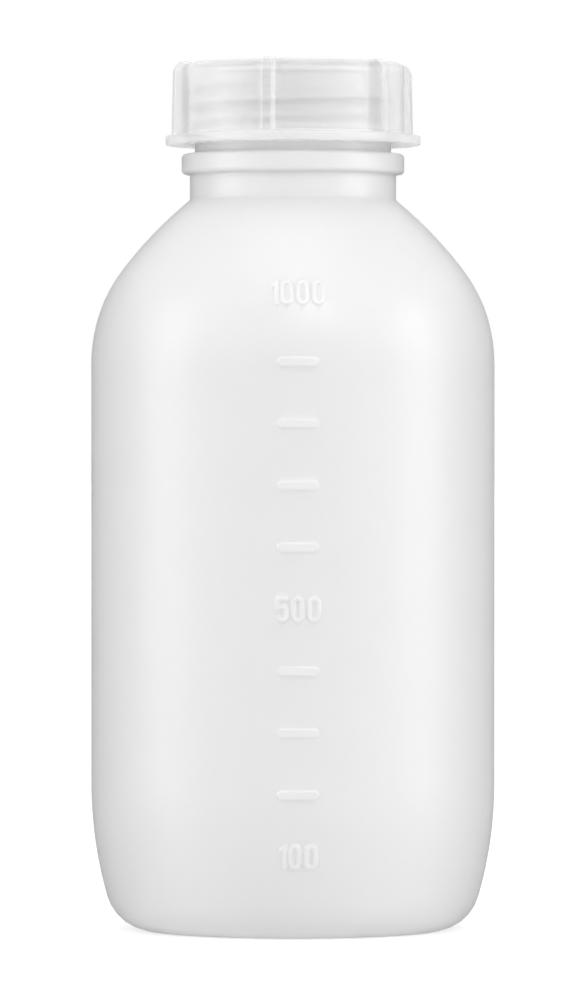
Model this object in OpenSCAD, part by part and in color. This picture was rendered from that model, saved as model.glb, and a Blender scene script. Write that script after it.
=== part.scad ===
// One-litre wide-mouth laboratory bottle with a screw cap and a sealing disc.
// Lengths are in millimetres. The bottle stands on z = 0, its axis is the Z axis,
// and the raised graduation faces -Y.

/* [Body] */
// Outer diameter of the straight wall
body_d = 96; // [94:0.5:98]
// Height at which the straight wall turns into the shoulder
shoulder_z = 135; // [120:1:140]
// Wall thickness of the blow-moulded body
wall = 1.3; // [1:0.1:1.8]
// Radius of the lower edge
corner_r = 11; // [9:0.5:13]
// Radius of the slow curve between the lower edge and the straight wall
side_r = 98; // [90:1:110]
// Angle of that slow curve
side_a = 16; // [14:0.5:18]
// Height of the hollow under the base
push_up = 4; // [2:0.5:6]
// Radius at which the base hollow meets the standing ring
ring_r = 30.5; // [28:0.5:32]

/* [Shoulder] */
// Radius of the round shoulder
shoulder_r = 37; // [35:0.5:39]
// Angle of the round shoulder
shoulder_a = 37.4; // [35:0.2:39]
// Radius of the flatter curve that runs up to the neck
cone_r = 98.6; // [90:0.5:110]

/* [Neck] */
// Outer diameter of the neck below the bead
neck_low_d = 49; // [48:0.5:50]
// Height of the neck below the bead
neck_low_h = 6.1; // [5:0.1:8]
// Outer diameter of the bead
bead_d = 52.9; // [52:0.1:54]
// Height of the bead
bead_h = 4.9; // [4:0.1:5.5]
// Radius of the bead's edges
bead_edge = 1; // [0.6:0.1:1.4]
// Outer diameter of the threaded neck, without its thread
neck_d = 46.6; // [46.4:0.1:46.8]
// Height of the threaded neck above the bead
finish_h = 18.8; // [18.5:0.1:20]
// Diameter of the clear opening
bore_d = 41.6; // [40:0.2:42]

/* [Thread] */
// Rise of the thread in one turn
pitch = 4; // [4:0.1:4.2]
// Outer diameter of the bottle's thread
thread_d = 50.4; // [50:0.1:50.6]
// Turns of the bottle's thread
bottle_turns = 2.5; // [2:0.25:2.75]
// Turns of the cap's thread
cap_turns = 2.75; // [2:0.25:3]
// Width of a thread ridge at its crest
crest_w = 1; // [0.8:0.05:1.1]
// Width of a thread ridge at its root
root_w = 1.9; // [1.7:0.05:2]
// Space between the flanks that touch when the cap is tight
flank_gap = 0.15; // [0.1:0.05:0.3]

/* [Cap] */
// Outer diameter of the cap's skirt
cap_d = 53.1; // [53:0.1:54]
// Inner diameter of the cap's skirt, between its threads
cap_in_d = 51; // [50.9:0.1:51.2]
// Diameter to the crest of the cap's thread
cap_thread_d = 47.3; // [47.2:0.1:47.6]
// Height of the gap between the bead and the cap
cap_gap = 2.1; // [1.5:0.1:2.5]
// Thickness of the cap's top plate
plate_t = 1.7; // [1.4:0.1:2.4]
// Radius of the cap's top edge
cap_edge = 1.5; // [0.8:0.1:1.8]
// Diameter of the flange at the cap's lower rim
flange_d = 60.8; // [60.2:0.2:64]
// Thickness of that flange
flange_t = 2.6; // [2:0.1:3]
// Number of grip ribs
rib_count = 6; // [4:1:12]
// Width of a grip rib
rib_w = 3.6; // [3:0.1:5]
// Diameter across the ribs at the flange
rib_low_d = 59.8; // [58.6:0.1:60]
// Diameter across the ribs at the top
rib_top_d = 59.2; // [58:0.1:59.6]
// Radius of a rib's upper outer corner
rib_edge = 3; // [1:0.1:3.4]
// Height of the ribs above the top plate
rib_rise = 0.25; // [0:0.05:0.6]
// Angle of the first rib from -Y towards +X
rib_turn = -13.6; // [-30:0.2:30]

/* [Sealing disc] */
// Diameter of the disc
disc_d = 49.6; // [47.8:0.2:50.4]
// Thickness of the disc
disc_t = 1; // [0.8:0.1:1.5]

/* [Graduation] */
// Height of the lowest mark
first_mark_z = 19.8; // [19:0.1:21]
// Distance between neighbouring marks
mark_step = 14.37; // [14:0.01:14.6]
// Height of the top number, which lies on the shoulder
top_mark_z = 150.9; // [149:0.1:153]
// Height of the raised marks above the wall
mark_h = 0.35; // [0.2:0.05:0.5]
// Length of a dash
dash_l = 9.6; // [6:0.2:12]
// Width of a dash
dash_w = 2.1; // [1.4:0.1:2.6]
// Height of a digit
digit_h = 5.9; // [5:0.1:7]
// Width of a digit
digit_w = 3.05; // [2.8:0.05:3.3]
// Width of a digit's strokes
stroke = 1; // [0.8:0.05:1.2]
// Distance from a digit to the one after it
digit_step = 3.7; // [3.6:0.05:4.1]
// Distance from a 1 to the digit after it, which stands closer
one_step = 2.3; // [2.25:0.05:3.2]

/* [Hidden] */
$fn = 96;

body_r = body_d / 2;
side_x = body_r - side_r;
corner_x = side_x + (side_r - corner_r) * cos(side_a);
side_z = corner_r + (side_r - corner_r) * sin(side_a);
dome_r = (ring_r * ring_r + push_up * push_up) / (2 * push_up);
dome_a = asin(ring_r / dome_r);

shoulder_x = body_r - shoulder_r;
cone_x = shoulder_x + (shoulder_r - cone_r) * cos(shoulder_a);
cone_z = shoulder_z + (shoulder_r - cone_r) * sin(shoulder_a);

neck_low_r = neck_low_d / 2;
neck_r = neck_d / 2;
bead_r = bead_d / 2;
bore_r = bore_d / 2;
lip = 0.6;
neck_z = cone_z + cone_r * sin(cone_end(neck_low_r, 0));
bead_z = neck_z + neck_low_h;
bead_top = bead_z + bead_h;
mouth_z = bead_top + finish_h;

cap_z = bead_top + cap_gap;
plate_z = mouth_z + disc_t;
cap_top = plate_z + plate_t;
cap_r = cap_d / 2;
cap_in_r = cap_in_d / 2;
lead_in = 0.6;

// Height from the start of the bottle's thread up to the mouth
thread_depth = 13;
// How far a cut runs past the surface that it opens
past = 1;
// How far the flange's upper face slopes down from the skirt to its edge
flange_drop = 0.4;

// How deep a rib and a thread ridge are sunk into their wall, so that they are one solid with it
rib_bite = 0.6;
thread_bite = 0.5;
// How far below the wall's surface a thread ridge starts and ends
fade_depth = 0.1;
segments_per_turn = 40;
// Angle over which a thread ridge rises to its full height
fade_a = 40;
bottle_thread_z = mouth_z - thread_depth;
cap_thread_z = bottle_thread_z - (crest_w + root_w) / 2 - flank_gap;

// Marks that are dashes, counted in steps from the base; 1, 5 and the top mark are numbers
dash_marks = [2, 3, 4, 6, 7, 8, 9];

// Points of an arc about [cx, cz], from angle a0 to angle a1 in n steps
function arc(cx, cz, r, a0, a1, n) =
    [for (i = [0:n]) let (a = a0 + (a1 - a0) * i / n) [cx + r * cos(a), cz + r * sin(a)]];

// Angle on the curve below the neck at which the surface t inside the skin has radius r
function cone_end(r, t) = acos((r - cone_x) / (cone_r - t));

// Half outline of the body, t inside its outer skin, from the axis up to radius end_r
function body_side(t, end_r) = concat(
    arc(0, push_up - dome_r, dome_r + t, 90, 90 - dome_a, 8),
    arc(corner_x, corner_r, corner_r - t, -90, -side_a, 8),
    arc(side_x, side_z, side_r - t, -side_a, 0, 5),
    arc(shoulder_x, shoulder_z, shoulder_r - t, 0, shoulder_a, 10),
    arc(cone_x, cone_z, cone_r - t, shoulder_a, cone_end(end_r, t), 4));

// Outer outline of the neck, with its bead and its rounded lip
function neck_side() = concat(
    [[neck_low_r, bead_z]],
    arc(bead_r - bead_edge, bead_z + bead_edge, bead_edge, -90, 0, 4),
    arc(bead_r - bead_edge, bead_top - bead_edge, bead_edge, 0, 90, 4),
    [[neck_r, bead_top]],
    arc(neck_r - lip, mouth_z - lip, lip, 0, 90, 3));

// How much of its full height a thread ridge has at angle a: it fades out at both ends
function ridge(a, turns) = min(1, a / fade_a, (360 * turns - a) / fade_a);

// A helical ridge on a wall of radius wall_r. It stands out to crest_r, or in to it when
// crest_r is the smaller one, and z0 is the height of its middle at its lower end.
module thread(wall_r, crest_r, z0, turns) {
    side = sign(crest_r - wall_r);
    steps = ceil(turns * segments_per_turn);
    slope = (root_w - crest_w) / 2 / abs(crest_r - wall_r);
    sunk_r = wall_r - side * thread_bite;
    buried_r = wall_r - side * fade_depth;
    sections = [for (i = [0:steps])
        let (
            a = 360 * turns * i / steps,
            z = z0 + pitch * a / 360,
            top_r = buried_r + (crest_r - buried_r) * ridge(a, turns),
            half = crest_w / 2,
            foot = half + slope * abs(top_r - sunk_r)
        )
        each [for (p = [[sunk_r, -foot], [top_r, -half], [top_r, half], [sunk_r, foot]])
            [p[0] * cos(a), p[0] * sin(a), z + p[1]]]];
    walls = [for (i = [0:steps - 1], k = [0:3])
        let (n = (k + 1) % 4)
        [4 * i + k, 4 * i + n, 4 * (i + 1) + n, 4 * (i + 1) + k]];
    first = [3, 2, 1, 0];
    last = [for (k = [0:3]) 4 * steps + k];
    faces = concat([first, last], walls);
    // A face's points run clockwise seen from outside, so an inward ridge has them reversed
    turned = side > 0 ? faces : [for (f = faces) [for (k = [len(f) - 1:-1:0]) f[k]]];
    polyhedron(sections, turned, convexity = 8);
}

// A bar with round ends, w wide and h high, about the origin
module bar(w, h) {
    r = min(w, h) / 2;
    square([w > h ? w - 2 * r : w, w > h ? h : h - 2 * r], center = true);
    for (s = [-1, 1])
        translate(w > h ? [s * (w / 2 - r), 0] : [0, s * (h / 2 - r)]) circle(r);
}

module zero() {
    difference() {
        bar(digit_w, digit_h);
        bar(digit_w - 2 * stroke, digit_h - 2 * stroke);
    }
}

// A 1, with its upright on the origin
module one() {
    flag_l = 1.15;
    translate([-stroke / 2, -digit_h / 2]) square([stroke, digit_h]);
    translate([0, digit_h / 2 - stroke / 2])
        rotate(225)
            translate([0, -stroke / 2]) square([flag_l, stroke]);
}

module five() {
    bowl_h = 0.62 * digit_h;
    gap_h = 0.3 * bowl_h;
    upright_h = 0.54 * digit_h;
    left = -digit_w / 2;
    translate([left, digit_h / 2 - stroke]) square([digit_w, stroke]);
    translate([left, digit_h / 2 - upright_h]) square([stroke, upright_h]);
    translate([0, (bowl_h - digit_h) / 2])
        difference() {
            bar(digit_w, bowl_h);
            bar(digit_w - 2 * stroke, bowl_h - 2 * stroke);
            translate([left, -gap_h / 2]) square([digit_w / 2, gap_h]);
        }
}

// Distance from the first digit to digit i
function digit_x(digits, i) =
    i == 0 ? 0 : digit_x(digits, i - 1) + (digits[i - 1] == 1 ? one_step : digit_step);

// Digits side by side about the origin; each entry is 0, 1 or 5
module number(digits) {
    last = len(digits) - 1;
    for (i = [0:last])
        translate([digit_x(digits, i) - digit_x(digits, last) / 2, 0]) {
            if (digits[i] == 0) zero();
            if (digits[i] == 1) one();
            if (digits[i] == 5) five();
        }
}

// Height of mark n
function mark_z(n) = first_mark_z + (n - 1) * mark_step;

// The graduation as a flat pattern, X across and Y up
module graduation() {
    for (n = dash_marks)
        translate([0, mark_z(n)]) bar(dash_l, dash_w);
    translate([0, mark_z(1)]) number([1, 0, 0]);
    translate([0, mark_z(5)]) number([5, 0, 0]);
    translate([0, top_mark_z]) number([1, 0, 0, 0]);
}

// The space inside the body's skin at depth t; a negative depth is outside it
module skin(t) {
    rotate_extrude() polygon(concat(body_side(t, neck_low_r), [[0, neck_z]]));
}

// The raised marks: the flat pattern pushed through a thin layer on the skin
module marks() {
    intersection() {
        translate([0, -bore_r, 0])
            rotate([90, 0, 0])
                linear_extrude(body_r) graduation();
        difference() {
            skin(-mark_h);
            skin(wall / 2);
        }
    }
}

module bottle() {
    color("whitesmoke") {
        difference() {
            union() {
                rotate_extrude()
                    polygon(concat(body_side(0, neck_low_r), neck_side(), [[0, mouth_z]]));
                thread(neck_r, thread_d / 2, bottle_thread_z, bottle_turns);
                marks();
            }
            rotate_extrude()
                polygon(concat(body_side(wall, bore_r), [[bore_r, mouth_z + past], [0, mouth_z + past]]));
        }
    }
}

// One grip rib on the +X side, from inside the skirt's wall out to its rounded edge
module rib() {
    top_r = rib_top_d / 2;
    top_z = cap_top + rib_rise;
    translate([0, rib_w / 2, 0])
        rotate([90, 0, 0])
            linear_extrude(rib_w)
                polygon(concat(
                    [[cap_r - rib_bite, cap_z + flange_t / 2], [rib_low_d / 2, cap_z + flange_t / 2]],
                    arc(top_r - rib_edge, top_z - rib_edge, rib_edge, 0, 90, 6),
                    [[cap_r - rib_bite, top_z]]));
}

module screw_cap() {
    color("white") {
        rotate_extrude()
            polygon(concat(
                [[cap_in_r + lead_in, cap_z], [flange_d / 2, cap_z]],
                [[flange_d / 2, cap_z + flange_t - flange_drop], [cap_r, cap_z + flange_t]],
                arc(cap_r - cap_edge, cap_top - cap_edge, cap_edge, 0, 90, 4),
                [[0, cap_top], [0, plate_z]],
                [[cap_in_r, plate_z], [cap_in_r, cap_z + lead_in]]));
        thread(cap_in_r, cap_thread_d / 2, cap_thread_z, cap_turns);
        for (i = [0:rib_count - 1])
            rotate([0, 0, rib_turn - 90 + 360 * i / rib_count]) rib();
    }
}

module sealing_disc() {
    color("gainsboro")
        translate([0, 0, mouth_z]) cylinder(h = disc_t, d = disc_d);
}

bottle();
screw_cap();
sealing_disc();
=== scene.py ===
"""Looks of a one-litre wide-mouth laboratory bottle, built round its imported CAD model.

Lengths are in metres and angles in degrees. The bottle's axis is the Z axis, it stands on
z = 0, and angles round it are counted from -Y, where the graduation is, towards +X.
"""

import math

import bpy
import numpy as np
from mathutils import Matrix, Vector


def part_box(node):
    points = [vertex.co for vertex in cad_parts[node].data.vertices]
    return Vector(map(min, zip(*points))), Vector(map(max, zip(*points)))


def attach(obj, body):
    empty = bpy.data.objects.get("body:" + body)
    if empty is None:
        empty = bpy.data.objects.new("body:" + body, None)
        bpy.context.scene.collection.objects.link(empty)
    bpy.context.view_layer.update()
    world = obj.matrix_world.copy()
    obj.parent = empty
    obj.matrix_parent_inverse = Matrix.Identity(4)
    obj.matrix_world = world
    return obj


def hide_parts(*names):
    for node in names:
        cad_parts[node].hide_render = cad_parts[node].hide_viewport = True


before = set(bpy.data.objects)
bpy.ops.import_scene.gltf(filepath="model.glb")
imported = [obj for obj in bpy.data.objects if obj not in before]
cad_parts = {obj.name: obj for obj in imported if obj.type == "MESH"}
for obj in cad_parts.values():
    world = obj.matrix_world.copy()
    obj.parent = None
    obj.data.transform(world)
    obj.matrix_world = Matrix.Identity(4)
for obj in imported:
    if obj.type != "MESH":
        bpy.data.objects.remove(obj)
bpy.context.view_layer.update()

MM = 0.001

# ---- sizes taken from the frame ------------------------------------------------------------
bottle_low, bottle_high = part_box("bottle")
cap_low, cap_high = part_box("screw_cap")
disc_low, disc_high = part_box("sealing_disc")

BODY_R = bottle_high[0]
MOUTH_Z = disc_low[2]
CAP_Z = cap_low[2]
PLATE_Z = disc_high[2]
RIB_TOP_Z = cap_high[2]
FLANGE_R = cap_high[0]
DISC_R = disc_high[0]

# ---- sizes that the frame doesn't state -----------------------------------------------------
WALL = 1.3 * MM
CORNER_R = 11 * MM
SIDE_R = 98 * MM
SIDE_A = 16
SEAM_TURNS = (90, 270)
SEAM_H = 0.1 * MM
SEAM_REACH = 0.7
PUSH_UP = 4 * MM
RING_R = 30.5 * MM
SHOULDER_Z = 135 * MM
SHOULDER_R = 37 * MM
SHOULDER_A = 37.4
CONE_R = 98.6 * MM

NECK_LOW_R = 24.5 * MM
NECK_LOW_H = 6.1 * MM
BEAD_R = 26.45 * MM
BEAD_H = 4.9 * MM
BEAD_EDGE = 1.1 * MM
NECK_R = 23.3 * MM
BORE_R = 20.8 * MM
LIP = 0.8 * MM

PITCH = 4 * MM
BOTTLE_CREST_R = 25.2 * MM
BOTTLE_TURNS = 2.5
BOTTLE_THREAD_Z = MOUTH_Z - 13 * MM
CAP_CREST_R = 23.65 * MM
CAP_TURNS = 2.75
CAP_THREAD_Z = BOTTLE_THREAD_Z - 1.6 * MM
CREST_W = 1.0 * MM
ROOT_W = 1.9 * MM

CAP_R = 26.55 * MM
CAP_IN_R = 25.5 * MM
RIB_RISE = 0.25 * MM
CAP_TOP = RIB_TOP_Z - RIB_RISE
CAP_EDGE = 1.5 * MM
FLANGE_T = 2.6 * MM
RIB_COUNT = 6
RIB_TURN = -13.6
RIB_LOW_R = 29.9 * MM
RIB_TOP_R = 29.6 * MM
RIB_EDGE = 3 * MM
RIB_FOOT = 0.1 * MM
RIB_HALF_W = 1.8 * MM
RIB_FLANK = 0.8 * MM
RIB_SINK = 0.25 * MM
FLANGE_DROP = 0.4 * MM
LEAD_IN = 0.6 * MM

FIRST_MARK_Z = 19.8 * MM
MARK_STEP = 14.37 * MM
TOP_MARK_Z = 150.9 * MM
MARK_H = 0.35 * MM
MARK_EDGE = 0.34 * MM
DASH_L = 9.6 * MM
DASH_W = 2.1 * MM
DIGIT_H = 5.9 * MM
DIGIT_W = 3.05 * MM
STROKE = 1.0 * MM
DIGIT_STEP = 3.7 * MM
ONE_STEP = 2.3 * MM
FINE = 0.19 * MM
MARKS_REACH = 9.6

# ---- curves ---------------------------------------------------------------------------------


def arc(cx, cz, r, a0, a1, n):
    """n + 1 points of an arc about (cx, cz), from a0 to a1 degrees, as rows of (radius, z)."""
    a = np.radians(np.linspace(a0, a1, n + 1))
    return np.column_stack([cx + r * np.cos(a), cz + r * np.sin(a)])


def line(p, q, n):
    """n + 1 points from p to q."""
    return np.linspace(p, q, n + 1)


def smooth(t):
    """0 below 0, 1 above 1, and an S-curve between them."""
    t = np.clip(t, 0, 1)
    return t * t * (3 - 2 * t)


def join(*parts):
    """The parts as one row of points, without repeats where they meet."""
    points = np.vstack(parts)
    step = np.linalg.norm(np.diff(points, axis=0), axis=1)
    return points[np.concatenate([[True], step > 1e-7])]


SIDE_X = BODY_R - SIDE_R
CORNER_X = SIDE_X + (SIDE_R - CORNER_R) * math.cos(math.radians(SIDE_A))
SIDE_Z = CORNER_R + (SIDE_R - CORNER_R) * math.sin(math.radians(SIDE_A))
DOME_R = (RING_R**2 + PUSH_UP**2) / (2 * PUSH_UP)
DOME_A = math.degrees(math.asin(RING_R / DOME_R))
SHOULDER_X = BODY_R - SHOULDER_R
CONE_X = SHOULDER_X + (SHOULDER_R - CONE_R) * math.cos(math.radians(SHOULDER_A))
CONE_Z = SHOULDER_Z + (SHOULDER_R - CONE_R) * math.sin(math.radians(SHOULDER_A))


def cone_end(r, t):
    """Angle on the curve below the neck at which the surface t inside the skin has radius r."""
    return math.degrees(math.acos((r - CONE_X) / (CONE_R - t)))


def body_side(t, end_r, density):
    """The body's outline t inside its skin, from the axis to radius end_r, density points a metre."""

    def steps(length):
        return max(3, round(length * density))

    wall_h = SHOULDER_Z - SIDE_Z
    end_a = cone_end(end_r, t)
    return join(
        arc(0, PUSH_UP - DOME_R, DOME_R + t, 90, 90 - DOME_A, 12),
        arc(CORNER_X, CORNER_R, CORNER_R - t, -90, -SIDE_A, max(10, steps(0.012))),
        arc(SIDE_X, SIDE_Z, SIDE_R - t, -SIDE_A, 0, steps(0.027)),
        line((BODY_R - t, SIDE_Z), (BODY_R - t, SHOULDER_Z), steps(wall_h)),
        arc(SHOULDER_X, SHOULDER_Z, SHOULDER_R - t, 0, SHOULDER_A, steps(0.024)),
        arc(CONE_X, CONE_Z, CONE_R - t, SHOULDER_A, end_a, steps(0.022)),
    )


def normals(points):
    """Unit normals of an outline, to the right of its direction."""
    d = np.gradient(points, axis=0)
    n = np.column_stack([d[:, 1], -d[:, 0]])
    return n / np.maximum(np.linalg.norm(n, axis=1, keepdims=True), 1e-12)


# ---- meshes ---------------------------------------------------------------------------------


def mesh_object(name, verts, faces):
    """A smooth-shaded mesh object, linked to the scene."""
    mesh = bpy.data.meshes.new(name)
    mesh.from_pydata([tuple(v) for v in verts], [], faces)
    mesh.validate()
    obj = bpy.data.objects.new(name, mesh)
    bpy.context.scene.collection.objects.link(obj)
    mesh.shade_smooth()
    return obj


def spin(name, radius, height, angles):
    """A closed solid from rows of points round the Z axis.

    radius and height have one row per outline point and one column per angle. The first and
    the last outline point lie on the axis, and each becomes one vertex.
    """
    rows, columns = radius.shape
    a = np.radians(angles)
    x = radius[1:-1] * np.sin(a)
    y = -radius[1:-1] * np.cos(a)
    ring = np.stack([x, y, height[1:-1]], axis=2).reshape(-1, 3)
    verts = np.vstack([ring, [0, 0, height[0, 0]], [0, 0, height[-1, 0]]])
    start = len(ring)
    faces = []
    for j in range(columns):
        k = (j + 1) % columns
        faces.append((start, k, j))
        for i in range(rows - 3):
            here = i * columns
            after = here + columns
            faces.append((here + j, here + k, after + k, after + j))
        last = (rows - 3) * columns
        faces.append((last + j, last + k, start + 1))
    return mesh_object(name, verts, faces)


def ridge(name, wall_r, crest_r, z0, turns):
    """A rounded helical ridge on a wall of radius wall_r, sunk a little into it."""
    side = math.copysign(1, crest_r - wall_r)
    per_turn = 96
    fade = 40
    steps = math.ceil(turns * per_turn)
    half = ROOT_W / 2 + 0.12 * MM
    across = np.linspace(-half, half, 15)
    form = smooth((half - np.abs(across)) / (half - CREST_W / 2 + 0.1 * MM))
    buried = wall_r - side * 0.14 * MM
    sunk = wall_r - side * 0.6 * MM
    verts = []
    for i in range(steps + 1):
        turn = 360 * turns * i / steps
        grown = smooth(np.array(min(turn, 360 * turns - turn) / fade))
        top = buried + (crest_r - buried) * grown * form
        r = np.concatenate([[sunk], top, [sunk]])
        dz = np.concatenate([[-half], across, [half]])
        a = math.radians(turn)
        z = z0 + PITCH * turn / 360 + dz
        verts.extend(zip(r * math.cos(a), r * math.sin(a), z))
    n = len(across) + 2
    faces = [tuple(range(n))[::-1], tuple(steps * n + k for k in range(n))]
    for i in range(steps):
        for k in range(n):
            m = (k + 1) % n
            faces.append((i * n + k, i * n + m, (i + 1) * n + m, (i + 1) * n + k))
    if side < 0:
        faces = [f[::-1] for f in faces]
    return mesh_object(name, verts, [f[::-1] for f in faces])


def fuse(obj, tool):
    """Makes obj and tool one solid, and removes tool."""
    union = obj.modifiers.new("union", "BOOLEAN")
    union.operation = "UNION"
    union.solver = "EXACT"
    union.object = tool
    bpy.context.view_layer.update()
    depsgraph = bpy.context.evaluated_depsgraph_get()
    mesh = bpy.data.meshes.new_from_object(obj.evaluated_get(depsgraph))
    obj.modifiers.clear()
    obj.data = mesh
    bpy.data.objects.remove(tool)


# ---- the raised graduation ------------------------------------------------------------------


def loop_path(w, h):
    """The middle line of a 0 that is w wide and h high."""
    r = w / 2
    top = arc(0, h / 2 - r, r, 0, 180, 12)
    return np.vstack([top, -top, top[:1]])


def one_path(w, h):
    """The middle line of a 1: a short flag and the upright."""
    flag = 0.44 * w
    return np.array([(-flag, h / 2 - flag), (0, h / 2), (0, -h / 2)])


def five_path(w, h):
    """The middle line of a 5: top bar, upright and bowl."""
    r = w / 2
    bowl_top = arc(0, 0.14 * h - r, r, 150, 0, 8)
    bowl_low = arc(0, r - h / 2, r, 0, -165, 10)
    corner = [(r, h / 2), (-r, h / 2), (-r, 0.02 * h)]
    return np.vstack([corner, bowl_top, bowl_low])


PATHS = {"0": loop_path, "1": one_path, "5": five_path}


def distance(x, z, path):
    """Distance from each point (x, z) to a line of points."""
    best = np.full(x.shape, 1.0)
    for (ax, az), (bx, bz) in zip(path[:-1], path[1:]):
        dx, dz = bx - ax, bz - az
        t = np.clip(((x - ax) * dx + (z - az) * dz) / (dx * dx + dz * dz), 0, 1)
        best = np.minimum(best, np.hypot(x - ax - t * dx, z - az - t * dz))
    return best


def number_marks(text, z):
    """(middle line, half width) of each digit of text, centred at height z."""
    places = [0]
    for digit in text[:-1]:
        places.append(places[-1] + (ONE_STEP if digit == "1" else DIGIT_STEP))
    marks = []
    for digit, x in zip(text, places):
        path = PATHS[digit](DIGIT_W - STROKE, DIGIT_H - STROKE)
        marks.append((path + (x - places[-1] / 2, z), STROKE / 2))
    return marks


def graduation_marks():
    """(middle line, half width) of every raised mark."""
    marks = []
    for n in (2, 3, 4, 6, 7, 8, 9):
        z = FIRST_MARK_Z + (n - 1) * MARK_STEP
        reach = (DASH_L - DASH_W) / 2
        marks.append((np.array([(-reach, z), (reach, z)]), DASH_W / 2))
    marks += number_marks("100", FIRST_MARK_Z)
    marks += number_marks("500", FIRST_MARK_Z + 4 * MARK_STEP)
    marks += number_marks("1000", TOP_MARK_Z)
    return marks


def raised(x, z, marks):
    """Height of the graduation above the skin at each point (x, z), where x is across the front."""
    height = np.zeros(x.shape)
    for path, half in marks:
        inside = half - distance(x, z, path)
        height = np.maximum(height, MARK_H * smooth(inside / MARK_EDGE + 0.5))
    return height


# ---- bottle ---------------------------------------------------------------------------------


def bottle_angles():
    """Columns round the bottle: narrow over the graduation and at the two mould seams."""
    fine = math.degrees(FINE / BODY_R)
    front = np.linspace(-MARKS_REACH, MARKS_REACH, round(2 * MARKS_REACH / fine) + 1)
    rest = np.linspace(MARKS_REACH, 360 - MARKS_REACH, 116)[1:-1]
    seams = [s + d for s in SEAM_TURNS for d in (-1.2, -0.6, -0.3, 0, 0.3, 0.6, 1.2)]
    clear = [a for a in rest if min(abs(a - s) for s in SEAM_TURNS) > 1.8]
    return np.sort(np.concatenate([front, clear, seams]))


def keep_rows(points, marks):
    """Thins out an outline, except under the base and where it crosses the graduation."""
    every = 11
    keep = []
    lowest = np.argmin(points[:, 1])
    for i, (r, z) in enumerate(points):
        near = any(
            path[:, 1].min() - half - MARK_EDGE < z < path[:, 1].max() + half + MARK_EDGE
            for path, half in marks
        )
        base = z < PUSH_UP + 0.1 * MM and r < RING_R
        near = near and z > CORNER_R
        if i % every == 0 or i in (lowest, len(points) - 1) or base or near:
            keep.append(i)
    return points[keep]


def neck_outline():
    """Outline of the neck: a fillet on the shoulder, the bead, the threaded neck and the lip."""
    neck_z = CONE_Z + CONE_R * math.sin(math.radians(cone_end(NECK_LOW_R, 0)))
    bead_z = neck_z + NECK_LOW_H
    bead_top = bead_z + BEAD_H
    fillet = 0.7 * MM
    under_bead = 0.4 * MM
    over_bead = 0.5 * MM
    return join(
        arc(NECK_LOW_R + fillet, neck_z + 0.45 * fillet, fillet, 225, 180, 4),
        line((NECK_LOW_R, neck_z + fillet), (NECK_LOW_R, bead_z - under_bead), 4),
        arc(NECK_LOW_R + under_bead, bead_z - under_bead, under_bead, 180, 90, 4),
        arc(BEAD_R - BEAD_EDGE, bead_z + BEAD_EDGE, BEAD_EDGE, -90, 0, 8),
        line((BEAD_R, bead_z + BEAD_EDGE), (BEAD_R, bead_top - BEAD_EDGE), 3),
        arc(BEAD_R - BEAD_EDGE, bead_top - BEAD_EDGE, BEAD_EDGE, 0, 90, 8),
        arc(NECK_R + over_bead, bead_top + over_bead, over_bead, 270, 180, 4),
        line((NECK_R, bead_top + over_bead), (NECK_R, MOUTH_Z - LIP), 16),
        arc(NECK_R - LIP, MOUTH_Z - LIP, LIP, 0, 90, 6),
        arc(BORE_R + LIP, MOUTH_Z - LIP, LIP, 90, 180, 6),
    )


def seam_height(angles, height):
    """Height of the mould's parting line, a fine ridge up both sides."""
    near = np.min([np.abs(angles - s) for s in SEAM_TURNS], axis=0)
    return SEAM_H * smooth(1 - near / SEAM_REACH) * smooth(height / (8 * MM))


def pinch_off(x, y):
    """The weld across the base where the mould pinched the tube shut: a low, narrow ridge."""
    height = 0.55 * MM
    half_width = 0.8 * MM
    half_length = 26 * MM
    fade = 3 * MM
    across = smooth(1 - np.abs(y) / half_width)
    along = smooth((half_length - np.abs(x)) / fade)
    return height * across * along


def build_bottle():
    marks = graduation_marks()
    angles = bottle_angles()
    skin = keep_rows(body_side(0, NECK_LOW_R + 0.5 * MM, 1 / FINE), marks)
    neck = neck_outline()
    inner = body_side(WALL, BORE_R, 350)[::-1]
    outline = join(skin, neck, inner)
    n = normals(outline)
    a = np.radians(angles)
    r = np.repeat(outline[:, :1], len(angles), axis=1)
    z = np.repeat(outline[:, 1:], len(angles), axis=1)

    rise = np.zeros(r.shape)
    count = len(skin)
    front = np.abs((angles + 180) % 360 - 180) < MARKS_REACH + 0.4
    x = r[:count] * np.sin(a)
    y = -r[:count] * np.cos(a)
    rise[:count, front] = raised(x[:, front], z[:count, front], marks)
    under = z[:count] < PUSH_UP + 0.1 * MM
    rise[:count] += np.where(under & (r[:count] < RING_R), pinch_off(x, y), 0)
    # The seams end where the lip begins
    lip_rows = 14
    outside = count + len(neck) - lip_rows
    rise[:outside] += seam_height(angles, z[:outside])

    r = r + rise * n[:, :1]
    z = z + rise * n[:, 1:]
    r[0] = r[-1] = 0
    bottle = spin("bottle_shell", r, z, angles)
    fuse(bottle, ridge("bottle_thread", NECK_R, BOTTLE_CREST_R, BOTTLE_THREAD_Z, BOTTLE_TURNS))
    return bottle


# ---- cap ------------------------------------------------------------------------------------


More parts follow.
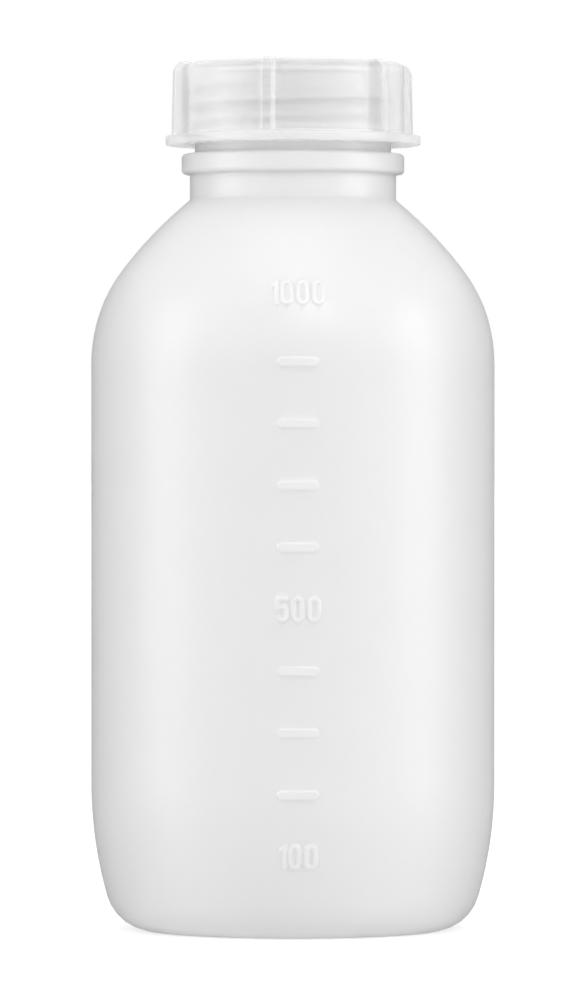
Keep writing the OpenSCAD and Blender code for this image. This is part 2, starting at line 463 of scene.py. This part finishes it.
def cap_angles():
    """Columns round the cap, and at each the share of a rib's full height."""
    edge = np.linspace(RIB_HALF_W - RIB_FLANK, RIB_HALF_W, 9) / RIB_TOP_R
    top = np.linspace(0, RIB_HALF_W - RIB_FLANK, 4)[:-1] / RIB_TOP_R
    side = np.degrees(np.concatenate([top, edge]))
    gap = 360 / RIB_COUNT
    plain = np.linspace(side[-1], gap / 2, 9)[1:]
    one = np.concatenate([side, plain])
    local = np.concatenate([-one[:0:-1], one[:-1]])
    turned = [RIB_TURN + gap * i + local for i in range(RIB_COUNT)]
    along_rim = np.abs(np.radians(local)) * RIB_TOP_R
    share = smooth((RIB_HALF_W - along_rim) / RIB_FLANK)
    return np.concatenate(turned) % 360, np.tile(share, RIB_COUNT)


def cap_rim():
    """The flange, from the skirt's inner edge round to the foot of the skirt."""
    soft = 0.25 * MM
    low = CAP_Z
    high = CAP_Z + FLANGE_T - FLANGE_DROP
    return join(
        arc(CAP_IN_R + LEAD_IN + soft, low + soft, soft, 225, 270, 3),
        arc(FLANGE_R - soft, low + soft, soft, -90, 0, 5),
        arc(FLANGE_R - soft, high - soft, soft, 0, 84, 5),
        line((FLANGE_R - soft, high), (RIB_LOW_R + RIB_FOOT, high + 0.05 * MM), 2),
    )


def gate_mark(top):
    """The small moulding mark in the middle of the top: a shallow dish with a cut-off pip."""
    dish = 0.22 * MM
    return np.array([
        (2.6 * MM, top),
        (2.35 * MM, top - 0.04 * MM),
        (2.15 * MM, top - dish),
        (0.95 * MM, top - dish),
        (0.8 * MM, top - 0.12 * MM),
        (0.7 * MM, top + 0.02 * MM),
        (0, top + 0.05 * MM),
    ])


def cap_outline(rib):
    """Outer outline of the cap, from its lower rim to the middle of its top, on or between ribs."""
    foot_z = CAP_Z + FLANGE_T
    if rib:
        foot_z -= RIB_SINK
        low = (RIB_LOW_R, foot_z)
        edge = arc(RIB_TOP_R - RIB_EDGE, RIB_TOP_Z - RIB_EDGE, RIB_EDGE, 2, 90, 9)
        inner_r = CAP_R - 0.9 * MM
        ledge = np.array([
            (inner_r, RIB_TOP_Z),
            (inner_r - 0.2 * MM, RIB_TOP_Z - 0.1 * MM),
            (inner_r - 0.35 * MM, CAP_TOP + 0.04 * MM),
            (inner_r - 0.6 * MM, CAP_TOP),
        ])
        fillet = arc(RIB_LOW_R + RIB_FOOT, foot_z, RIB_FOOT, 262, 184, 4)
    else:
        foot = 0.5 * MM
        low = (CAP_R, foot_z + foot)
        edge = arc(CAP_R - CAP_EDGE, CAP_TOP - CAP_EDGE, CAP_EDGE, 0, 88, 9)
        ledge = line((CAP_R - 1.75 * MM, CAP_TOP), (CAP_R - 2.4 * MM, CAP_TOP), 3)
        fillet = arc(CAP_R + foot, foot_z + foot, foot, 262, 184, 4)
    wall = line(low, edge[0], 14)[:-1]
    plate = line((CAP_R - 3 * MM, CAP_TOP), (3.2 * MM, CAP_TOP), 8)
    return np.vstack([cap_rim(), fillet, wall, edge, ledge, plate, gate_mark(CAP_TOP)])


def build_cap():
    angles, share = cap_angles()
    order = np.argsort(angles)
    angles, share = angles[order], share[order]
    plain, along = cap_outline(False), cap_outline(True)
    corner = 0.6 * MM
    inner = join(
        line((0, PLATE_Z), (CAP_IN_R - corner, PLATE_Z), 6),
        arc(CAP_IN_R - corner, PLATE_Z - corner, corner, 90, 0, 4),
        line((CAP_IN_R, PLATE_Z - corner), (CAP_IN_R, CAP_Z + LEAD_IN), 12),
        line((CAP_IN_R, CAP_Z + LEAD_IN), (CAP_IN_R + LEAD_IN - 0.1 * MM, CAP_Z + 0.1 * MM), 2)[1:],
    )
    # The outline starts and ends on the axis: down inside from the plate, round the rim, up outside
    outer = plain[:, None, :] * (1 - share[:, None]) + along[:, None, :] * share[:, None]
    inside = np.repeat(inner[:, None, :], len(angles), axis=1)
    points = np.concatenate([inside, outer], axis=0)
    cap = spin("cap_shell", points[:, :, 0], points[:, :, 1], angles)
    fuse(cap, ridge("cap_thread", CAP_IN_R, CAP_CREST_R, CAP_THREAD_Z, CAP_TURNS))
    return cap


# ---- sealing disc ---------------------------------------------------------------------------


def build_disc():
    """A thin liner with soft edges and the shallow ring that the bottle's rim has pressed into it."""
    soft = 0.25 * MM
    low, high = disc_low[2], disc_high[2]
    press = 0.06 * MM
    outline = join(
        line((0, low), (BORE_R - 0.1 * MM, low), 6),
        np.array([(BORE_R + 0.4 * MM, low + press), (NECK_R - 0.4 * MM, low + press)]),
        np.array([(NECK_R + 0.2 * MM, low)]),
        arc(DISC_R - soft, low + soft, soft, -90, 0, 5),
        arc(DISC_R - soft, high - soft, soft, 0, 90, 5),
        line((DISC_R - 1 * MM, high), (0, high), 6),
    )
    angles = np.linspace(0, 360, 145)[:-1]
    r = np.repeat(outline[:, :1], len(angles), axis=1)
    z = np.repeat(outline[:, 1:], len(angles), axis=1)
    return spin("liner", r, z, angles)


# ---- materials ------------------------------------------------------------------------------


def material(name):
    """A new node material: its tree, its surface shader and an object-space texture coordinate."""
    mat = bpy.data.materials.new(name)
    mat.use_nodes = True
    tree = mat.node_tree
    shader = tree.nodes["Principled BSDF"]
    place = tree.nodes.new("ShaderNodeTexCoord").outputs["Object"]
    return mat, tree, shader, place


def noise(tree, place, scale, detail=3.0, rough=0.5, stretch=(1, 1, 1)):
    """A noise texture's value, scale in features a metre."""
    mapping = tree.nodes.new("ShaderNodeMapping")
    mapping.inputs["Scale"].default_value = stretch
    tree.links.new(place, mapping.inputs["Vector"])
    node = tree.nodes.new("ShaderNodeTexNoise")
    node.inputs["Scale"].default_value = scale
    node.inputs["Detail"].default_value = detail
    node.inputs["Roughness"].default_value = rough
    tree.links.new(mapping.outputs["Vector"], node.inputs["Vector"])
    return node.outputs["Fac"]


def between(tree, value, start, end, low, high):
    """low up to where value is start, high from where it is end, and a straight line between."""
    node = tree.nodes.new("ShaderNodeMapRange")
    node.inputs["From Min"].default_value = start
    node.inputs["From Max"].default_value = end
    node.inputs["To Min"].default_value = low
    node.inputs["To Max"].default_value = high
    tree.links.new(value, node.inputs["Value"])
    return node.outputs["Result"]


def spread(tree, value, low, high):
    """A noise value, from 0.3 to 0.7, spread over low to high."""
    return between(tree, value, 0.3, 0.7, low, high)


def tint(tree, value, dark, light):
    """A colour between dark and light, as value goes from 0.3 to 0.7."""
    ramp = tree.nodes.new("ShaderNodeValToRGB")
    ramp.color_ramp.elements[0].position = 0.3
    ramp.color_ramp.elements[0].color = (*dark, 1)
    ramp.color_ramp.elements[1].position = 0.7
    ramp.color_ramp.elements[1].color = (*light, 1)
    tree.links.new(value, ramp.inputs["Fac"])
    return ramp.outputs["Color"]


def bump(tree, shader, heights):
    """Adds bumps to shader; heights is a list of (value, depth in metres)."""
    normal = None
    for value, depth in heights:
        node = tree.nodes.new("ShaderNodeBump")
        node.inputs["Distance"].default_value = depth
        tree.links.new(value, node.inputs["Height"])
        if normal is not None:
            tree.links.new(normal, node.inputs["Normal"])
        normal = node.outputs["Normal"]
    tree.links.new(normal, shader.inputs["Normal"])


def polyethylene():
    """Natural blown polyethylene: milky, waxy, faintly streaked along the wall."""
    mat, tree, shader, place = material("natural_polyethylene")
    cloud = noise(tree, place, 35, 3, 0.5, (1, 1, 0.35))
    grain = noise(tree, place, 1800, 2, 0.6)
    color = tint(tree, cloud, (0.90, 0.905, 0.90), (0.94, 0.945, 0.94))
    tree.links.new(color, shader.inputs["Base Color"])
    tree.links.new(spread(tree, grain, 0.36, 0.48), shader.inputs["Roughness"])
    shader.inputs["IOR"].default_value = 1.51
    shader.inputs["Subsurface Weight"].default_value = 1.0
    shader.inputs["Subsurface Radius"].default_value = (1.0, 1.0, 1.0)
    shader.inputs["Subsurface Scale"].default_value = 1.6 * MM
    shader.inputs["Transmission Weight"].default_value = 0.35
    shader.inputs["Coat Weight"].default_value = 0.25
    shader.inputs["Coat Roughness"].default_value = 0.28
    shader.inputs["Coat IOR"].default_value = 1.5
    bump(tree, shader, [(cloud, 0.12 * MM), (grain, 0.01 * MM)])
    return mat


def cap_zones(tree, place):
    """Two values over the cap: 1 on its grip ribs and 0 elsewhere, which says where shade is painted,
    and 1 above its flange.
    """
    split = tree.nodes.new("ShaderNodeSeparateXYZ")
    tree.links.new(place, split.inputs[0])
    level = tree.nodes.new("ShaderNodeVectorMath")
    level.operation = "MULTIPLY"
    level.inputs[1].default_value = (1, 1, 0)
    tree.links.new(place, level.inputs[0])
    radius = tree.nodes.new("ShaderNodeVectorMath")
    radius.operation = "LENGTH"
    tree.links.new(level.outputs[0], radius.inputs[0])
    foot_z = CAP_Z + FLANGE_T
    out = between(tree, radius.outputs["Value"], CAP_R, CAP_R + 1 * MM, 0, 1)
    up = between(tree, split.outputs["Z"], foot_z - 0.3 * MM, foot_z, 0, 1)
    ribs = tree.nodes.new("ShaderNodeMath")
    ribs.operation = "MULTIPLY"
    tree.links.new(out, ribs.inputs[0])
    tree.links.new(up, ribs.inputs[1])
    return ribs.outputs[0], up


def see_through(tree, shader, square, edge_on):
    """Lets a share of the light straight through the surface: square to it, and at a low angle.

    Returns the clear shader and the node that holds the share.
    """
    clear = tree.nodes.new("ShaderNodeBsdfTransparent")
    angle = tree.nodes.new("ShaderNodeLayerWeight")
    angle.inputs["Blend"].default_value = 0.4
    share = tree.nodes.new("ShaderNodeMapRange")
    share.inputs["To Min"].default_value = square
    share.inputs["To Max"].default_value = edge_on
    tree.links.new(angle.outputs["Facing"], share.inputs["Value"])
    mix = tree.nodes.new("ShaderNodeMixShader")
    tree.links.new(share.outputs["Result"], mix.inputs[0])
    tree.links.new(shader.outputs["BSDF"], mix.inputs[1])
    tree.links.new(clear.outputs["BSDF"], mix.inputs[2])
    tree.links.new(mix.outputs["Shader"], tree.nodes["Material Output"].inputs["Surface"])
    return clear, share


# Painted shade on the thick ribs of the cap, standing in for the dimmer light through their thicker
# plastic: how much of their colour and of the light straight through them is left
RIB_PAINTED_SHADE = 0.85
RIB_CLEAR_PAINTED_SHADE = 0.93
# Shares of the light that go straight through the cap: square on, at a low angle, and at a low
# angle through the flange
CAP_SQUARE = 0.62
CAP_EDGE_ON = 0.12
FLANGE_EDGE_ON = 0.6


def polypropylene():
    """Natural moulded polypropylene: clearer and glossier than the bottle, with painted shade that
    makes its ribs darker.
    """
    mat, tree, shader, place = material("natural_polypropylene")
    cloud = noise(tree, place, 60, 3, 0.5, (1, 1, 0.5))
    grain = noise(tree, place, 2400, 2, 0.6)
    color = tint(tree, cloud, (0.95, 0.955, 0.955), (0.98, 0.985, 0.985))
    ribs, above_flange = cap_zones(tree, place)
    # Painted shade: the colour of the grip ribs is darkened
    shaded = tree.nodes.new("ShaderNodeVectorMath")
    shaded.operation = "SCALE"
    tree.links.new(color, shaded.inputs[0])
    tree.links.new(between(tree, ribs, 0, 1, 1, RIB_PAINTED_SHADE), shaded.inputs["Scale"])
    tree.links.new(shaded.outputs[0], shader.inputs["Base Color"])
    tree.links.new(spread(tree, grain, 0.29, 0.35), shader.inputs["Roughness"])
    shader.inputs["IOR"].default_value = 1.49
    shader.inputs["Subsurface Weight"].default_value = 1.0
    shader.inputs["Subsurface Radius"].default_value = (1.0, 1.0, 1.0)
    shader.inputs["Subsurface Scale"].default_value = 1.6 * MM
    shader.inputs["Transmission Weight"].default_value = 0.15
    bump(tree, shader, [(cloud, 0.04 * MM), (grain, 0.001 * MM)])
    clear, share = see_through(tree, shader, CAP_SQUARE, CAP_EDGE_ON)
    # Painted shade: the light that goes straight through the grip ribs is darkened too
    tree.links.new(between(tree, ribs, 0, 1, 1, RIB_CLEAR_PAINTED_SHADE), clear.inputs["Color"])
    edge_on = between(tree, above_flange, 0, 1, FLANGE_EDGE_ON, CAP_EDGE_ON)
    tree.links.new(edge_on, share.inputs["To Max"])
    return mat


def foamed_liner():
    """White foamed polyethylene with fine closed cells."""
    mat, tree, shader, place = material("foamed_polyethylene")
    cells = noise(tree, place, 2600, 2, 0.6)
    color = tint(tree, cells, (0.80, 0.80, 0.78), (0.88, 0.88, 0.86))
    tree.links.new(color, shader.inputs["Base Color"])
    tree.links.new(spread(tree, cells, 0.55, 0.7), shader.inputs["Roughness"])
    bump(tree, shader, [(cells, 0.05 * MM)])
    see_through(tree, shader, 0.4, 0.4)
    return mat


def floor_material():
    """Pale paper that glows a little, so that it runs into the white that the camera sees."""
    mat, tree, shader, place = material("pale_floor")
    fibre = noise(tree, place, 6, 4, 0.6)
    color = tint(tree, fibre, (0.90, 0.90, 0.90), (0.92, 0.92, 0.92))
    tree.links.new(color, shader.inputs["Base Color"])
    shader.inputs["Roughness"].default_value = 0.8
    shader.inputs["Emission Color"].default_value = (1, 1, 1, 1)
    shader.inputs["Emission Strength"].default_value = 0.28
    return mat


# ---- studio ---------------------------------------------------------------------------------

VIEW_TURN = -1.38
VIEW_DISTANCE = 1.70
VIEW_HEIGHT = 110.8 * MM
AIM_HEIGHT = 102.45 * MM
AIM_SHIFT = -0.36 * MM
LENS = 256.6

# Brightness of the studio in each direction: the brighter of two levels, one by how far the
# direction points to +Y and one by how far it points up
LEVELS_TO_BACK = [(-1, 0.97), (-0.15, 0.97), (0.2, 0.22), (0.42, 0.05), (0.985, 0.05), (1, 1)]
LEVELS_TO_TOP = [(-1, 0.75), (-0.65, 0.75), (-0.3, 0), (0.2, 0), (0.55, 0.72), (1, 0.72)]
STUDIO_STRENGTH = 1.2
FLOOR_REACH = 40


def around(turn, distance, height):
    """The point at that angle from -Y towards +X, distance from the axis, and height."""
    a = math.radians(turn)
    return Vector((distance * math.sin(a), -distance * math.cos(a), height))


def look_at(obj, target):
    obj.rotation_euler = (Vector(target) - obj.location).to_track_quat("-Z", "Y").to_euler()


def add_camera():
    data = bpy.data.cameras.new("camera")
    data.lens = LENS
    data.sensor_width = 36
    data.clip_start = 0.05
    data.clip_end = 50
    cam = bpy.data.objects.new("camera", data)
    bpy.context.scene.collection.objects.link(cam)
    cam.location = around(VIEW_TURN, VIEW_DISTANCE, VIEW_HEIGHT)
    right = around(VIEW_TURN + 90, AIM_SHIFT, 0)
    look_at(cam, (right.x, right.y, AIM_HEIGHT))
    bpy.context.scene.camera = cam


def softbox(name, turn, distance, height, size, power):
    """A rectangular area light aimed at the middle of the bottle."""
    data = bpy.data.lights.new(name, "AREA")
    data.shape = "RECTANGLE"
    data.size, data.size_y = size
    data.energy = power
    light = bpy.data.objects.new(name, data)
    bpy.context.scene.collection.objects.link(light)
    light.location = around(VIEW_TURN + turn, distance, height)
    look_at(light, (0, 0, 0.1))
    light.visible_camera = False
    return light


def add_levels(tree, value, levels):
    """A brightness that follows value through levels, a list of (value, brightness)."""
    level = tree.nodes.new("ShaderNodeMapRange")
    level.inputs["From Min"].default_value = -1
    level.inputs["From Max"].default_value = 1
    tree.links.new(value, level.inputs["Value"])
    ramp = tree.nodes.new("ShaderNodeValToRGB")
    ramp.color_ramp.interpolation = "EASE"
    while len(ramp.color_ramp.elements) < len(levels):
        ramp.color_ramp.elements.new(0.5)
    for element, (at, light) in zip(ramp.color_ramp.elements, levels):
        element.position = (at + 1) / 2
        element.color = (light, light, light, 1)
    tree.links.new(level.outputs["Result"], ramp.inputs["Fac"])
    return ramp.outputs["Color"]


def add_world():
    """A pale studio, with a dark band behind the bottle that draws its rims.

    The light is even from the front, the sides, above and below. The camera itself sees plain
    white.
    """
    world = bpy.data.worlds.new("studio")
    bpy.context.scene.world = world
    world.use_nodes = True
    tree = world.node_tree
    direction = tree.nodes.new("ShaderNodeTexCoord").outputs["Generated"]
    split = tree.nodes.new("ShaderNodeSeparateXYZ")
    tree.links.new(direction, split.inputs[0])
    both = tree.nodes.new("ShaderNodeVectorMath")
    both.operation = "MAXIMUM"
    tree.links.new(add_levels(tree, split.outputs["Y"], LEVELS_TO_BACK), both.inputs[0])
    tree.links.new(add_levels(tree, split.outputs["Z"], LEVELS_TO_TOP), both.inputs[1])
    lit = tree.nodes["Background"]
    tree.links.new(both.outputs[0], lit.inputs["Color"])
    lit.inputs["Strength"].default_value = STUDIO_STRENGTH
    white = tree.nodes.new("ShaderNodeBackground")
    white.inputs["Color"].default_value = (1, 1, 1, 1)
    seen = tree.nodes.new("ShaderNodeMixShader")
    camera_ray = tree.nodes.new("ShaderNodeLightPath").outputs["Is Camera Ray"]
    tree.links.new(camera_ray, seen.inputs[0])
    tree.links.new(lit.outputs[0], seen.inputs[1])
    tree.links.new(white.outputs[0], seen.inputs[2])
    tree.links.new(seen.outputs[0], tree.nodes["World Output"].inputs["Surface"])


def add_floor(mat):
    """A wide pale floor. It doesn't light the bottle: the studio's own light from below does."""
    half = FLOOR_REACH
    verts = [(-half, -half, 0), (half, -half, 0), (half, half, 0), (-half, half, 0)]
    floor = mesh_object("floor", verts, [(0, 1, 2, 3)])
    floor.data.materials.append(mat)
    floor.visible_diffuse = False
    floor.visible_glossy = False
    floor.visible_transmission = False


def finish_piece(obj, mat, body, node):
    """Gives a piece its material and says what it stands for."""
    obj.data.materials.clear()
    obj.data.materials.append(mat)
    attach(obj, body)
    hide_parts(node)


finish_piece(build_bottle(), polyethylene(), "bottle", "bottle")
finish_piece(build_cap(), polypropylene(), "cap", "screw_cap")
finish_piece(build_disc(), foamed_liner(), "seal", "sealing_disc")

add_floor(floor_material())
add_world()
softbox("left_box", -75, 1.0, 0.15, (0.5, 1.2), 4.6)
softbox("right_box", 75, 1.0, 0.15, (0.5, 1.2), 4.6)
softbox("key", 20.4, 1.2, 0.98, (0.1, 0.1), 1.2)
glint = softbox("glint", 12, 1.2, 1.16, (0.1, 0.1), 2.6)
glint.visible_diffuse = False
glint.visible_transmission = False
softbox("top", 0, 0.15, 1.3, (0.8, 0.8), 2)
add_camera()
bpy.context.scene.view_settings.view_transform = "Standard"
